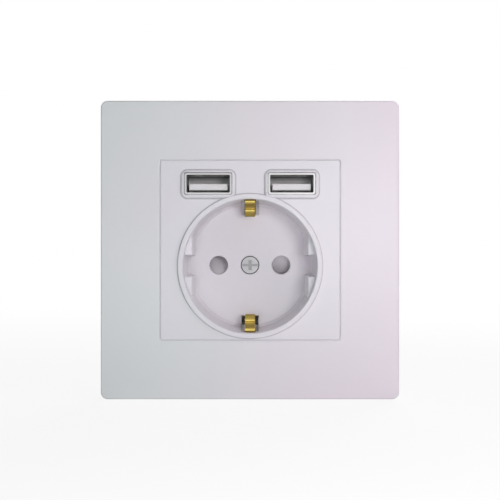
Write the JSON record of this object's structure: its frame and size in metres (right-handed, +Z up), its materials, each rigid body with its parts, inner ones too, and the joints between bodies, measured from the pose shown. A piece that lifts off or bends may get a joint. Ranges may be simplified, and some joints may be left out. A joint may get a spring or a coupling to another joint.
{
  "type": "usb wall socket",
  "caption": "Flush wall socket in a square pearl-white frame: a round plug well with side earth clips and a safety shutter, and USB charging ports side by side above the well.",
  "frame": {"origin": "centre of the box screw pattern on the wall face", "axes": "+X right and +Z up as seen from the room, +Y into the wall; the front faces -Y"},
  "size_m": [0.086, 0.046, 0.086],
  "materials": {
    "pearl_plastic": "satin, pearl white",
    "white_plastic": "moulded, white",
    "grey_plastic": "moulded, light grey",
    "shutter_plastic": "moulded, grey",
    "zinc_steel": "zinc plated",
    "port_steel": "nickel plated sheet",
    "spring_steel": "drawn wire",
    "brass": "rolled brass",
    "board": "green circuit board",
    "ferrite": "ferrite",
    "winding_tape": "yellow tape over copper",
    "capacitor_sleeve": "shrink sleeve over aluminium",
    "black_plastic": "moulded, black",
    "resistor_body": "lacquered"
  },
  "bodies": {
    "socket": {"cover_frame": "pearl_plastic", "centre_plate": "pearl_plastic", "centre_screw": "zinc_steel", "support_plate": "zinc_steel", "plate_screws": "zinc_steel", "rear_housing": "grey_plastic", "contact_block": "white_plastic", "shutter_spring": "spring_steel", "earth_strap": "brass", "line_contact": "brass", "neutral_contact": "brass", "line_terminal": "brass", "neutral_terminal": "brass", "earth_terminal": "brass", "terminal_screws": "zinc_steel", "usb_shell_left": "port_steel", "usb_shell_right": "port_steel", "usb_tongue_left": "white_plastic", "usb_tongue_right": "white_plastic", "usb_contacts_left": "brass", "usb_contacts_right": "brass", "usb_board": "board", "power_board": "board", "transformer_core": "ferrite", "transformer_winding": "winding_tape", "input_capacitor": "capacitor_sleeve", "output_capacitor": "capacitor_sleeve", "controller_chip": "black_plastic", "fuse_resistor": "resistor_body", "link_header": "black_plastic", "link_pins": "brass"},
    "shutter": {"shutter_rotor": "shutter_plastic"}
  },
  "joints": [
    {"name": "shutter_turn", "type": "hinge", "parent": "socket", "child": "shutter", "pos_m": [0, 0.0122, -0.0046], "axis": [0, -1, 0], "range_deg": [0, 38], "stiffness_Nm_per_rad": 0.0046, "springref_deg": -63.03, "deforming": ["shutter_spring"]}
  ]
}
